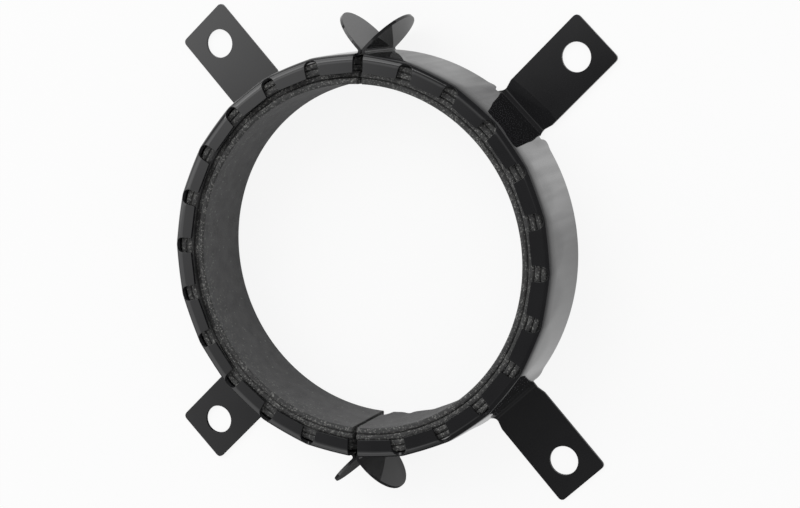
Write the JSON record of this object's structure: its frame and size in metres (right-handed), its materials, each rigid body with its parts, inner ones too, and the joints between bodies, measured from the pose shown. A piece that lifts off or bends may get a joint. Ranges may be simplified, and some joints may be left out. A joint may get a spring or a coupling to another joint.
{
  "type": "pipe fire collar",
  "caption": "Split fire collar for a plastic pipe: folded black steel half shells with notched front tabs, fixing lugs and bent closing ears, lined with graphite strips.",
  "frame": {"origin": "centre of the pipe opening, on the wall face", "axes": "+Z along the pipe, away from the wall; +Y towards one of the two joints between the half shells; +X towards the middle of the right half"},
  "size_m": [0.154, 0.1584, 0.0285],
  "materials": {
    "black_steel": "smooth glossy black coating on folded sheet steel",
    "graphite": "matt dark grey, smooth on its faces and grainy on its cut edges"
  },
  "bodies": {
    "root": {"right_shell": "black_steel", "right_strip_outer": "graphite", "right_strip_third": "graphite", "right_strip_second": "graphite", "right_strip_inner": "graphite", "left_shell": "black_steel", "left_strip_outer": "graphite", "left_strip_third": "graphite", "left_strip_second": "graphite", "left_strip_inner": "graphite"}
  },
  "joints": []
}
